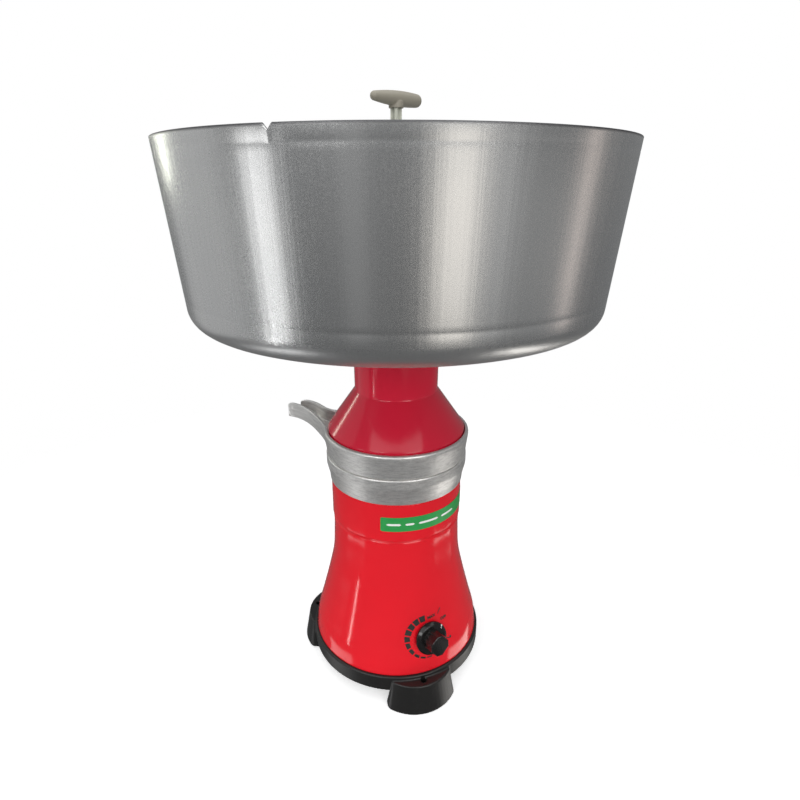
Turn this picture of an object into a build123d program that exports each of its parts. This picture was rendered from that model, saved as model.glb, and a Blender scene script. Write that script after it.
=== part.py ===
from build123d import *
from math import atan2, cos, degrees, hypot, radians, sin
import os

# Electric table-top cream separator, millimetres.
# Origin: on the drum's axis, in the plane that the three feet stand on. +Z is up, -Y is the front.

# ---------------------------------------------------------------- driving dimensions
BASE_RING_R = 86.0
BASE_RING_Z = 18.0
BASE_TOP_Z = 33.5
BASE_WALL = 3.0
FOOT_AZIMUTHS = (-73.0, 47.0, 167.0)
FOOT_BOLT_R = 88.5
FOOT_BOLT_HOLE_R = 2.6
FOOT_LEDGE_Z = 30.0
FOOT_SHELL_Z = 0.8
FOOT_DRAFT = 10.0
FOOT_HALF_WIDTH = 34.0
FOOT_SIDE_R = 84.5
FOOT_TIP_R = 101.0

HOUSING_WALL = 3.0
HOUSING_FLARE = ((60.8, 166.0), (61.3, 152.0), (63.0, 124.0), (69.1, 96.0), (76.4, 68.0), (81.4, 50.0),
                 (83.4, BASE_TOP_Z))
COLLAR_R = 62.0
COLLAR_Z = 168.2
HOUSING_TOP_Z = 205.5
CUP_R = 58.0
WEB_Z = 152.0
CUP_FLOOR_Z = 156.0
BASE_SCREW_AZIMUTHS = (-110.0, 10.0, 130.0)
BASE_SCREW_R = 74.0
MOTOR_MOUNT_AZIMUTHS = (-90.0, 30.0, 150.0)
MOTOR_MOUNT_R = 34.0

LABEL_AZIMUTHS = (-103.0, 12.0)
LABEL_Z = (178.6, 192.8)
LABEL_THICK = 0.3

KNOB_AZIMUTH = -65.3
KNOB_Z = 67.2
KNOB_SURFACE_R = 76.6
KNOB_TILT = 16.7
KNOB_SKIRT_R = 15.7
KNOB_LIFT = 1.9
POINTER_ANGLE = 42.0

GLAND_AZIMUTH = 95.0
GLAND_Z = 52.0

SHAFT_R = 5.0
JOURNAL_R = 4.0
BEARING_R = 11.0
BEARING_H = 7.0
LOWER_BEARING_Z = 38.0
UPPER_BEARING_Z = 131.0
STATOR_R = 40.0
STATOR_BORE_R = 24.6
ARMATURE_R = 24.0
STACK_Z = (72.0, 108.0)
BRACKET_R = 45.0
BRACKET_TOP_Z = 144.0
BRACKET_BOTTOM_Z = 36.0

DRUM_R = 50.0
DRUM_WALL = 3.5
DRUM_BOTTOM_Z = 165.0
DRUM_RIM_Z = 196.0
DRUM_NECK_Z = 227.0
CONE_SLOPE = 0.73
DISC_COUNT = 9
DISC_PITCH = 1.8
DISC_THICK = 0.7
DISC_R = 43.0
TOP_DISC_EDGE_Z = 190.6
HOLDER_TUBE_R = 10.5
HOLDER_BORE_R = 8.0
NUT_R = 17.0
NUT_TOP_Z = 243.0

SKIM_TOP_Z = 231.3
SKIM_TOP_R = 65.9
SKIM_BOTTOM_R = 62.9
CREAM_TOP_Z = 255.2
CREAM_LIP_Z = 253.8
CREAM_LIP_R = 67.2
CREAM_BOTTOM_R = 65.1
RECEIVER_WALL = 3.6
RECEIVER_FLOOR = 2.5
CHAMBER_SEAT_Z = 246.0
CHAMBER_SEAT_R = 64.0
SPOUT_WALL = 2.6
SPOUT_CORNER_R = 3.4
CREAM_SPOUT_Z = 238.3
SLIDING_GAP = 0.3

# Plan outline of the cream spout: the side that leaves the ring first, then the other side.
SPOUT_NEAR = ((-56.0, -30.0), (-63.7, -15.5), (-67.4, -2.0), (-73.6, 12.6), (-84.5, 33.4), (-99.4, 51.8),
              (-112.6, 59.6))
SPOUT_FAR = ((-42.0, 37.5), (-56.0, 39.0), (-64.5, 41.2), (-70.8, 46.5), (-79.4, 57.6), (-88.5, 65.6),
             (-98.4, 68.8))
SKIM_SPOUT_TURN = -48.0

CONE_R = 63.2
CONE_Z = 256.2
NECK_Z = 292.8
NECK_BOTTOM_R = 37.7
NECK_TOP_R = 38.3
NECK_TOP_Z = 360.6
CHAMBER_WALL = 2.8
CHAMBER_FLOOR_Z = 297.0
FEED_TUBE_R = 6.0
FEED_TUBE_END_Z = 238.0

BOWL_RIM_R = 180.0
BOWL_RIM_Z = 495.8
BOWL_CORNER_R = 168.6
BOWL_BOTTOM_Z = 360.6
BOWL_CORNER_FILLET = 17.7
BOWL_WALL = 2.2
BOWL_NICK_AZIMUTH = -111.6
BOWL_NICK_WIDTH = 6.0
BOWL_NICK_DEPTH = 3.4
SEAT_R = 14.0
SEAT_BORE_R = 10.5
SEAT_TOP_Z = 384.0
SEAT_BOTTOM_Z = 352.0
PLUG_CLEARANCE = 0.08
PORT_SIZE = 10.0
PORT_Z = 371.5
TAP_TURN = 45.0
HANDLE_Z = 526.5
HANDLE_LENGTH = 52.0
HANDLE_NOSE_R = 3.4
HANDLE_MIDDLE_R = 5.4
HANDLE_TAIL_R = 4.8
STEM_WIDTH = 8.8
STEM_RIB = 2.4
STEM_SEAT = 3.6

FLOAT_R = 27.0
FLOAT_BOTTOM_Z = 303.0
FLOAT_TOP_Z = 334.0


# ---------------------------------------------------------------- helpers
def turned(*corners):
    """Solid of revolution about Z from (radius, height) or (radius, height, fillet) corners."""
    points = [corner[:2] for corner in corners]
    fillets = [corner[2] if len(corner) > 2 else 0 for corner in corners]
    outline = Plane.XZ * make_face(FilletPolyline(*points, radius=fillets, close=True))
    return revolve(outline, Axis.Z)


def rod(radius, low, high, x=0.0, y=0.0):
    """Upright cylinder between two heights."""
    return Pos(x, y, (low + high) / 2) * Cylinder(radius, high - low)


def tube(outer, inner, low, high, x=0.0, y=0.0):
    """Upright ring between two heights."""
    return rod(outer, low, high, x, y) - rod(inner, low - 1, high + 1, x, y)


def polar(radius, azimuth):
    """X and Y of a point given by radius and azimuth."""
    return radius * cos(radians(azimuth)), radius * sin(radians(azimuth))


def at_azimuths(shape, azimuths):
    """Copies of a shape, turned about Z."""
    return [Rot(0, 0, azimuth) * shape for azimuth in azimuths]


def spread(count, start=0.0):
    """Evenly spaced azimuths."""
    return [start + 360.0 * index / count for index in range(count)]


def radial_hole(radius, azimuth, z, inner, outer):
    """Cylinder that lies along a radius, for a hole through a wall."""
    hole = Pos((inner + outer) / 2, 0, z) * Rot(0, 90, 0) * Cylinder(radius, outer - inner)
    return Rot(0, 0, azimuth) * hole


def save(name, shapes):
    """Write one named sub-part, of one or more separate solids."""
    solids = shapes if isinstance(shapes, list) else [shapes]
    found = [solid for shape in solids for solid in shape.solids()]
    result = found[0] if len(found) == 1 else Compound(children=found)
    result.label = name
    export_step(result, f"parts/{name}.step")


def knob_plane():
    """Plane on the housing's surface at the speed control, facing out along the control's shaft."""
    x, y = polar(KNOB_SURFACE_R, KNOB_AZIMUTH)
    nx, ny = polar(cos(radians(KNOB_TILT)), KNOB_AZIMUTH)
    sideways = polar(1.0, KNOB_AZIMUTH + 90)
    return Plane(origin=(x, y, KNOB_Z), x_dir=(*sideways, 0), z_dir=(nx, ny, sin(radians(KNOB_TILT))))


# ---------------------------------------------------------------- base
def foot_outline(inset):
    """Plan outline of one foot, pointing along +X; inset shrinks it for the hollow."""
    half = FOOT_HALF_WIDTH - inset
    tip = FOOT_TIP_R - inset
    side = FOOT_SIDE_R - inset * 0.6
    front = ThreePointArc((side, -half), (tip, 0), (side, half))
    inner = Polyline((side, half), (FOOT_SIDE_R - 24, half - 3), (FOOT_SIDE_R - 24, 3 - half), (side, -half))
    face = make_face([front, inner])
    return fillet(face.vertices().filter_by(lambda v: v.X > side - 1), 7.0 - inset * 0.8)


def foot_block(inset, low, high):
    """One drafted foot body between two heights, pointing along +X."""
    return Pos(0, 0, low) * extrude(foot_outline(inset), high - low, taper=FOOT_DRAFT)


def make_base_plate():
    """Moulded ring with three hollow drafted feet, a plate with air slots, and screw holes."""
    foot = foot_block(0, FOOT_SHELL_Z, FOOT_LEDGE_Z)
    hollow = foot_block(BASE_WALL, FOOT_SHELL_Z - 0.01, FOOT_LEDGE_Z - BASE_WALL)
    ring = turned((0, BASE_RING_Z), (BASE_RING_R, BASE_RING_Z), (BASE_RING_R, BASE_TOP_Z, 1.6),
                  (0, BASE_TOP_Z))
    plate = ring
    for azimuth in FOOT_AZIMUTHS:
        plate += Rot(0, 0, azimuth) * foot
    for azimuth in FOOT_AZIMUTHS:
        plate -= Rot(0, 0, azimuth) * hollow
    plate -= rod(BASE_RING_R - BASE_WALL, -1, BASE_TOP_Z - BASE_WALL)
    plate -= rod(BASE_RING_R - 18, -1, BASE_RING_Z)
    boss_foot = rod(5.0, 2.0, FOOT_LEDGE_Z - 1, FOOT_BOLT_R)
    plate += at_azimuths(boss_foot, FOOT_AZIMUTHS)
    plate -= at_azimuths(rod(FOOT_BOLT_HOLE_R, -1, FOOT_LEDGE_Z + 8, FOOT_BOLT_R), FOOT_AZIMUTHS)
    plate -= at_azimuths(rod(2.3, 20, BASE_TOP_Z + 1, BASE_SCREW_R), BASE_SCREW_AZIMUTHS)
    slot = Pos(46, 0, BASE_TOP_Z) * extrude(SlotOverall(30, 5), 10, both=True)
    return plate - at_azimuths(slot, spread(18, 0.0))


def make_rubber_feet():
    """Three rubber rings pressed round the lower ends of the foot bosses."""
    return at_azimuths(tube(8.0, 5.05, 0, 6, FOOT_BOLT_R), FOOT_AZIMUTHS)


def make_base_screws():
    """Pan-head screws that hold the base plate to the housing."""
    under_plate = BASE_TOP_Z - BASE_WALL
    screw = rod(3.6, under_plate - 2.4, under_plate, BASE_SCREW_R)
    screw += rod(1.9, under_plate - 0.1, BASE_TOP_Z + 12, BASE_SCREW_R)
    return at_azimuths(screw, BASE_SCREW_AZIMUTHS)


# ---------------------------------------------------------------- housing and its fittings
def flare(inset):
    """Curved side of the housing as a spline, moved inwards by the wall thickness."""
    return Spline(*[(r - inset, z) for r, z in HOUSING_FLARE])


def make_motor_housing():
    """Flared shell with a stepped collar, the drum's cup on top and bosses for motor and base."""
    top_r, top_z = HOUSING_FLARE[0]
    foot_r, foot_z = HOUSING_FLARE[-1]
    step = Polyline((0, HOUSING_TOP_Z), (COLLAR_R, HOUSING_TOP_Z), (COLLAR_R, COLLAR_Z),
                    (top_r, COLLAR_Z - 0.9), (top_r, top_z))
    closing = Polyline((foot_r, foot_z), (0, foot_z), (0, HOUSING_TOP_Z))
    outside = revolve(Plane.XZ * make_face([step, flare(0), closing]), Axis.Z)
    inner_top = Polyline((0, WEB_Z), (HOUSING_FLARE[1][0] - HOUSING_WALL, WEB_Z))
    inner_flare = Spline(*[(r - HOUSING_WALL, z) for r, z in HOUSING_FLARE[1:]])
    inner_closing = Polyline((foot_r - HOUSING_WALL, foot_z), (0, foot_z), (0, WEB_Z))
    inside = revolve(Plane.XZ * make_face([inner_top, inner_flare, inner_closing]), Axis.Z)
    cup = turned((0, CUP_FLOOR_Z), (CUP_R, CUP_FLOOR_Z, 3), (CUP_R, HOUSING_TOP_Z + 1),
                 (0, HOUSING_TOP_Z + 1))
    shell = outside - inside - cup
    shell += rod(14, CUP_FLOOR_Z - 1, CUP_FLOOR_Z + 6)
    shell -= rod(8, WEB_Z - 1, CUP_FLOOR_Z + 7)
    base_boss = rod(6.5, BASE_TOP_Z, BASE_TOP_Z + 16, BASE_SCREW_R)
    shell += [boss & outside for boss in at_azimuths(base_boss, BASE_SCREW_AZIMUTHS)]
    shell -= at_azimuths(rod(2.0, BASE_TOP_Z - 1, BASE_TOP_Z + 13, BASE_SCREW_R), BASE_SCREW_AZIMUTHS)
    shell += at_azimuths(rod(6.0, WEB_Z - 3, WEB_Z + 1, MOTOR_MOUNT_R), MOTOR_MOUNT_AZIMUTHS)
    shell -= at_azimuths(rod(2.0, WEB_Z - 4, WEB_Z + 2, MOTOR_MOUNT_R), MOTOR_MOUNT_AZIMUTHS)
    shell -= knob_plane().location * Cylinder(4.2, 20)
    return shell - radial_hole(6.0, GLAND_AZIMUTH, GLAND_Z, 70, 90)


def make_label_strip():
    """Thin printed strip wrapped part of the way round the collar."""
    low, high = LABEL_Z
    start, end = LABEL_AZIMUTHS
    inner = COLLAR_R + 0.02
    section = Plane.XZ * (Pos(inner + LABEL_THICK / 2, (low + high) / 2) * Rectangle(LABEL_THICK, high - low))
    return Rot(0, 0, start) * revolve(section, Axis.Z, revolution_arc=end - start)


def make_cable_gland():
    """Rubber grommet where the supply lead enters at the back."""
    flange = radial_hole(8.0, GLAND_AZIMUTH, GLAND_Z, 82.9, 85.9)
    neck = radial_hole(5.9, GLAND_AZIMUTH, GLAND_Z, 74.0, 83.0)
    keeper = radial_hole(7.5, GLAND_AZIMUTH, GLAND_Z, 72.0, 75.4)
    return flange + neck + keeper - radial_hole(3.4, GLAND_AZIMUTH, GLAND_Z, 70, 88)


# ---------------------------------------------------------------- speed control
def make_control_knob():
    """Round bevelled skirt with an eight-sided tapering grip."""
    skirt = turned((0, KNOB_LIFT), (KNOB_SKIRT_R, KNOB_LIFT), (KNOB_SKIRT_R, KNOB_LIFT + 1.6, 0.8),
                   (13.2, KNOB_LIFT + 4.2, 1.5), (0, KNOB_LIFT + 4.6))
    corners = [(9.4, 4.1), (5.0, 8.2), (-5.0, 8.2), (-9.4, 4.1), (-9.4, -4.1), (-5.0, -8.2), (5.0, -8.2),
               (9.4, -4.1)]
    section = make_face(Polyline(*corners, close=True))
    grip = Pos(0, 0, KNOB_LIFT + 3) * extrude(section, 15.5, taper=2.5)
    grip = chamfer(grip.faces().sort_by(Axis.Z)[-1].edges(), 0.7)
    knob = skirt + Rot(0, 0, POINTER_ANGLE) * grip
    knob -= rod(3.05, KNOB_LIFT - 1, KNOB_LIFT + 12)
    return knob_plane().location * knob


def make_control_shaft():
    """Potentiometer's shaft, pressed into the knob."""
    return knob_plane().location * rod(3.0, -12.5, KNOB_LIFT + 11.5)


def make_control_nut():
    """Threaded bush and nut that fix the potentiometer to the housing wall."""
    bush = tube(4.0, 3.08, -6.0, 0.6)
    nut = extrude(RegularPolygon(5.4, 6), 1.4)
    nut = Pos(0, 0, -6.0) * nut - rod(3.9, -7, -4)
    return knob_plane().location * (bush + nut)


def make_potentiometer():
    """Round potentiometer body behind the housing wall."""
    body = rod(8.5, -16.1, -6.0) - rod(3.1, -12.7, -5)
    lugs = [Pos(x, -9.5, -13) * Box(1.6, 8, 0.8) for x in (-5, 0, 5)]
    return knob_plane().location * (body + lugs)


def make_speed_board():
    """Speed control circuit board with its choke, capacitor and heat-sinked triac."""
    board = Pos(0, -3, -16.9) * Box(42, 34, 1.6)
    choke = Pos(-12, -8, -21.7) * Cylinder(5, 8)
    capacitor = Pos(8, -12, -21.2) * Box(14, 7, 7)
    triac = Pos(12, 4, -20.2) * Box(10, 9, 5)
    return knob_plane().location * (board + [choke, capacitor, triac])


# ---------------------------------------------------------------- motor, fixed side
def make_upper_bracket():
    """Motor end shield that grips the stator, with the upper bearing's seat and air windows."""
    shield = turned((6.5, BRACKET_TOP_Z), (6.5, 139.2), (11.05, 138.2), (11.05, 129.5), (15, 129.5),
                    (15, 138), (STATOR_R + 0.1, 138), (STATOR_R + 0.1, 100), (BRACKET_R, 100),
                    (BRACKET_R, BRACKET_TOP_Z, 3))
    windows = [Rot(0, 0, a) * Pos(BRACKET_R, 0, 126) * Box(20, 26, 18) for a in spread(4, 45)]
    vents = at_azimuths(rod(4.5, 137, BRACKET_TOP_Z + 1, 27), spread(6, 0))
    screws = at_azimuths(rod(2.3, 137, BRACKET_TOP_Z + 1, MOTOR_MOUNT_R), MOTOR_MOUNT_AZIMUTHS)
    bolts = at_azimuths(rod(1.6, 90, 130, 42.6), spread(4))
    return shield - windows - vents - screws - bolts


def make_lower_bracket():
    """Lower end shield with the lower bearing's seat."""
    shield = turned((6.5, BRACKET_BOTTOM_Z), (BRACKET_R, BRACKET_BOTTOM_Z, 3), (BRACKET_R, 80),
                    (STATOR_R + 0.1, 80), (STATOR_R + 0.1, 41), (15, 41), (15, 45.5), (11.05, 45.5),
                    (11.05, 37.6), (6.5, 37.6))
    windows = [Rot(0, 0, a) * Pos(BRACKET_R, 0, 56) * Box(20, 30, 18) for a in spread(4, 45)]
    vents = at_azimuths(rod(4.5, BRACKET_BOTTOM_Z - 1, 42, 27), spread(6, 0))
    bolts = at_azimuths(rod(1.6, BRACKET_BOTTOM_Z - 1, 90, 42.6), spread(4))
    return shield - windows - vents - bolts


def make_motor_bolts():
    """Long bolts that draw the two end shields together."""
    bolt = rod(1.5, BRACKET_BOTTOM_Z, 112, 42.6) + rod(2.8, BRACKET_BOTTOM_Z - 2, BRACKET_BOTTOM_Z, 42.6)
    return at_azimuths(bolt, spread(4))


def make_bearing(low):
    """Deep-groove ball bearing: an outer ring, an inner ring and seven balls."""
    outer = tube(BEARING_R, 9.0, low, low + BEARING_H)
    inner = tube(6.0, JOURNAL_R + 0.02, low, low + BEARING_H)
    middle = low + BEARING_H / 2
    balls = at_azimuths(Pos(7.5, 0, middle) * Sphere(1.49), spread(7))
    return [outer, inner, *balls]


def make_stator_core():
    """Laminated two-pole stator ring with slots for the field coils."""
    low, high = STACK_Z
    core = tube(STATOR_R, STATOR_BORE_R, low, high)
    slot = Pos(0, 30.5, (low + high) / 2) * Box(36, 8, high - low + 2)
    return core - slot - Rot(0, 0, 180) * slot


def make_field_windings():
    """Two field coils, one above each slot, standing out past both ends of the core."""
    low, high = STACK_Z
    coil = Pos(0, 30.5, (low + high) / 2) * Box(34, 7, high - low + 22)
    coil -= Pos(0, 30.5, (low + high) / 2) * Box(20, 8, high - low + 4)
    coil = fillet(coil.edges().filter_by(Axis.Y), 3)
    return [coil, Rot(0, 0, 180) * coil]


def make_brush_holders():
    """Brass boxes that guide the carbon brushes."""
    outer = Pos(21.5, 0, 54.5) * Box(13, 9, 9)
    holder = outer - Pos(21.5, 0, 54.5) * Box(20, 6.2, 6.2) + Pos(21.5, 0, 45.6) * Box(6, 4, 9)
    return at_azimuths(holder, (0, 180))


def make_carbon_brushes():
    """Carbon blocks that bear on the commutator."""
    return at_azimuths(Pos(19, 0, 54.5) * Box(13.6, 6, 6), (0, 180))


def make_rubber_mounts():
    """Rubber rings between the motor and the web of the housing."""
    return at_azimuths(tube(7.0, 2.5, BRACKET_TOP_Z, WEB_Z - 3, MOTOR_MOUNT_R), MOTOR_MOUNT_AZIMUTHS)


def make_mount_screws():
    """Screws through the rubber rings into the web."""
    screw = rod(1.9, 137.5, WEB_Z + 1.5, MOTOR_MOUNT_R) + rod(4.0, 134.5, 138, MOTOR_MOUNT_R)
    return at_azimuths(screw, MOTOR_MOUNT_AZIMUTHS)


# ---------------------------------------------------------------- rotor
def make_motor_shaft():
    """Stepped shaft whose tapered upper end carries the drum."""
    return turned((0, LOWER_BEARING_Z), (JOURNAL_R, LOWER_BEARING_Z), (JOURNAL_R, 45.2), (SHAFT_R, 45.2),
                  (SHAFT_R, UPPER_BEARING_Z - 0.2), (JOURNAL_R, UPPER_BEARING_Z - 0.2), (JOURNAL_R, 166),
                  (2.8, 180), (0, 180))


def make_armature_core():
    """Laminated armature with twelve winding slots."""
    low, high = STACK_Z
    core = tube(ARMATURE_R, SHAFT_R, low, high)
    slot = Pos(20.5, 0, (low + high) / 2) * Box(9, 3.4, high - low + 2)
    return core - at_azimuths(slot, spread(12))


def make_armature_winding():
    """End turns of the armature winding, above and below the core."""
    low, high = STACK_Z
    under = turned((SHAFT_R, low), (SHAFT_R, low - 8), (17, low - 8, 3), (22, low - 1, 2), (22, low))
    over = turned((SHAFT_R, high), (22, high), (22, high + 1, 2), (17, high + 8, 3), (SHAFT_R, high + 8))
    return [under, over]


def make_commutator():
    """Copper commutator below the winding."""
    body = tube(12.0, SHAFT_R, 49, 62)
    cuts = [Rot(0, 0, a) * Pos(12, 0, 55.5) * Box(1.6, 0.7, 14) for a in spread(24)]
    return body - cuts


def make_cooling_fan():
    """Radial fan between the armature and the upper end shield."""
    hub = tube(10, SHAFT_R, 119.5, 129)
    disc = tube(36, 8, 127, 129)
    blade = Pos(22.5, 0, 123.9) * Box(26, 1.6, 6.6)
    return hub + disc + at_azimuths(blade, spread(10))


# ---------------------------------------------------------------- separating drum
def cone_z(edge_z, radius):
    """Height on a separating cone at a radius, from its height at the disc's outer edge."""
    return edge_z + (DISC_R - radius) * CONE_SLOPE


def cone_shell(edge_z, inner, outer, thick):
    """Thin conical disc."""
    return turned((inner, cone_z(edge_z, inner)), (outer, cone_z(edge_z, outer)),
                  (outer, cone_z(edge_z, outer) + thick), (inner, cone_z(edge_z, inner) + thick))


def make_drum_base():
    """Bottom half of the drum, with a tapered socket for the shaft."""
    inner = DRUM_R - DRUM_WALL
    cup = turned((0, DRUM_BOTTOM_Z + 1.5), (20, DRUM_BOTTOM_Z + 1.5), (22, DRUM_BOTTOM_Z),
                 (DRUM_R, DRUM_BOTTOM_Z, 3), (DRUM_R, DRUM_RIM_Z), (inner, DRUM_RIM_Z), (inner, 169.5, 3),
                 (12, 169.5), (12, 184), (0, 184))
    socket = turned((0, 160), (JOURNAL_R + 0.03, 160), (JOURNAL_R + 0.03, 166), (2.83, 180), (0, 181))
    return cup - socket


def make_disc_holder():
    """Feed tube with a bell under the disc stack and holes that let the milk in below it."""
    edge = TOP_DISC_EDGE_Z - DISC_PITCH * DISC_COUNT - 1.6
    bell = cone_shell(edge, HOLDER_TUBE_R - 1, DISC_R, 1.5)
    holder = tube(HOLDER_TUBE_R, HOLDER_BORE_R, 184, 241) + tube(14, HOLDER_BORE_R, 184, 192) + bell
    return holder - [radial_hole(2.5, a, 188, 5, 16) for a in spread(3)]


def make_disc_stack():
    """Thin conical discs that split the milk into layers."""
    edges = [TOP_DISC_EDGE_Z - DISC_PITCH * index for index in range(DISC_COUNT)]
    return [cone_shell(edge, HOLDER_TUBE_R + 0.3, DISC_R - 1, DISC_THICK) for edge in edges]


def make_separating_disc():
    """Thicker top disc whose neck carries the cream up past the skim outlet."""
    edge = TOP_DISC_EDGE_Z + 1.8
    neck = tube(13.5, 12.0, cone_z(edge, 13), DRUM_NECK_Z + 2)
    flange = tube(16.8, 12.0, DRUM_NECK_Z, DRUM_NECK_Z + 2)
    return cone_shell(edge, 12.0, DISC_R, 1.2) + neck + flange


def make_drum_cover():
    """Conical upper half of the drum with the skim outlets in its neck."""
    inner = DRUM_R - DRUM_WALL
    neck_z = cone_z(DRUM_RIM_Z, 15) - 2.2
    cover = turned((DRUM_R, DRUM_RIM_Z), (DRUM_R, DRUM_RIM_Z + 2, 1), (20, 218.5), (20, DRUM_NECK_Z),
                   (15, DRUM_NECK_Z), (15, neck_z), (inner - 0.6, DRUM_RIM_Z - 2),
                   (inner - 0.6, DRUM_RIM_Z - 6), (inner - 0.05, DRUM_RIM_Z - 6), (inner - 0.05, DRUM_RIM_Z))
    return cover - [radial_hole(1.5, a, 222.5, 14, 22) for a in spread(4, 45)]


def make_drum_seal():
    """Rubber ring under the cover's locating rim."""
    inner = DRUM_R - DRUM_WALL
    return tube(inner - 0.05, inner - 2.4, DRUM_RIM_Z - 8.2, DRUM_RIM_Z - 6.05)


def make_drum_nut():
    """Nut that clamps the drum together and holds the cream outlet."""
    nut = turned((13.5, DRUM_NECK_Z + 2), (NUT_R, DRUM_NECK_Z + 2), (NUT_R, NUT_TOP_Z, 1.5),
                 (HOLDER_TUBE_R + 0.05, NUT_TOP_Z), (HOLDER_TUBE_R + 0.05, 239), (13.5, 239))
    flats = [Rot(0, 0, a) * Pos(NUT_R, 0, 241) * Box(2.4, 12, 6) for a in spread(4)]
    return nut - flats - [radial_hole(1.6, a, 236.5, 11, 20) for a in (45, 225)]


def make_cream_screw():
    """Small slotted screws with a drilled core, which set how thick the cream is."""
    screw = radial_hole(1.55, 0, 236.5, 12.8, NUT_R - 0.4) - radial_hole(0.6, 0, 236.5, 12, 20)
    return at_azimuths(screw, (45, 225))


# ---------------------------------------------------------------- receivers
def moved_sideways(points, distance):
    """Plan points moved to the right of their direction of travel."""
    moved = []
    for index, (x, y) in enumerate(points):
        before_x, before_y = points[max(index - 1, 0)]
        after_x, after_y = points[min(index + 1, len(points) - 1)]
        step = hypot(after_x - before_x, after_y - before_y)
        moved.append((x + (after_y - before_y) * distance / step, y - (after_x - before_x) * distance / step))
    return moved


def spout_face(inset):
    """Plan of the cream spout, from inside the trough to its tip, with both sides moved inwards."""
    near = moved_sideways(SPOUT_NEAR, inset)
    far = moved_sideways(SPOUT_FAR, -inset)
    return make_face([Spline(*near), Spline(*far), Line(near[0], far[0]), Line(near[-1], far[-1])])


def spout_solids(floor_z, top_z, cut_z, trough_r, turn):
    """Outside of an open spout and the cutters for its channel, which reach up to cut_z, at one azimuth."""
    near_x, near_y = SPOUT_NEAR[-1]
    far_x, far_y = SPOUT_FAR[-1]
    mouth_azimuth = degrees(atan2(far_y - near_y, far_x - near_x))
    gap = hypot(far_x - near_x, far_y - near_y) - 2 * SPOUT_WALL
    tip = Pos((near_x + far_x) / 2, (near_y + far_y) / 2, 0) * Rot(0, 0, mouth_azimuth)
    outside = Pos(0, 0, floor_z) * extrude(spout_face(0), top_z - floor_z)
    outside -= rod(trough_r, floor_z - 1, top_z + 1)
    corner = Box(80, 2 * SPOUT_CORNER_R, 2 * SPOUT_CORNER_R)
    corner -= Pos(0, -SPOUT_CORNER_R, -SPOUT_CORNER_R) * Rot(0, 90, 0) * Cylinder(SPOUT_CORNER_R, 80)
    outside -= Pos(0, 0, top_z) * tip * corner
    channel_z = floor_z + RECEIVER_FLOOR
    channel = Pos(0, 0, channel_z) * extrude(spout_face(SPOUT_WALL), cut_z - channel_z)
    mouth = Pos(0, 0, channel_z + 20) * tip * Box(gap, 3, 40)
    turned_by = Rot(0, 0, turn)
    return turned_by * outside, [turned_by * channel, turned_by * mouth]


def make_skim_receiver():
    """Lower cast ring: trough for the skimmed milk, with its spout to the back."""
    low, high = HOUSING_TOP_Z, SKIM_TOP_Z
    inner = SKIM_BOTTOM_R - RECEIVER_WALL + 1.6
    ring = turned((43, low), (CUP_R - SLIDING_GAP - 2.5, low), (CUP_R - SLIDING_GAP - 2.5, low - 6),
                  (CUP_R - SLIDING_GAP, low - 6), (CUP_R - SLIDING_GAP, low), (SKIM_BOTTOM_R, low),
                  (SKIM_BOTTOM_R + 0.4, low + 6, 8), (SKIM_TOP_R, high - 9, 14), (SKIM_TOP_R, high, 0.5),
                  (inner, high), (inner, low + RECEIVER_FLOOR, 3), (45.5, low + RECEIVER_FLOOR, 1),
                  (45.5, low + 8), (43, low + 8))
    outside, channel = spout_solids(low, high - 4, high - 4, inner + 0.3, SKIM_SPOUT_TURN)
    return ring + outside - channel


def make_cream_receiver():
    """Upper cast ring: trough for the cream, its curved open spout and the chamber's seat."""
    low, high = SKIM_TOP_Z, CREAM_TOP_Z
    inner = CHAMBER_SEAT_R - 2.5
    spigot = SKIM_BOTTOM_R - RECEIVER_WALL + 1.6 - SLIDING_GAP
    ring = turned((19, low + 0.7), (spigot - 2.5, low + 0.7), (spigot - 2.5, low - 5), (spigot, low - 5),
                  (spigot, low), (CREAM_BOTTOM_R - 0.9, low), (CREAM_BOTTOM_R - 0.9, low + 0.7),
                  (CREAM_BOTTOM_R, low + 0.7, 0.4), (CREAM_BOTTOM_R + 0.7, low + 8, 20),
                  (CREAM_LIP_R, CREAM_LIP_Z - 3, 4), (CREAM_LIP_R, CREAM_LIP_Z, 1.6),
                  (CHAMBER_SEAT_R, high, 0.4), (CHAMBER_SEAT_R, CHAMBER_SEAT_Z), (inner, CHAMBER_SEAT_Z),
                  (inner, low + 3.2, 3), (21.5, low + 3.2, 1), (21.5, low + 5.2), (19, low + 5.2))
    outside, channel = spout_solids(CREAM_SPOUT_Z, CREAM_LIP_Z, high + 1, inner + 0.3, 0)
    outside -= rod(CHAMBER_SEAT_R + 0.3, CHAMBER_SEAT_Z - 0.2, high)
    bridge = tube(CHAMBER_SEAT_R + 0.5, inner + 0.1, CHAMBER_SEAT_Z - 3, CHAMBER_SEAT_Z - 0.1)
    return ring + outside - channel + bridge


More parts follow.
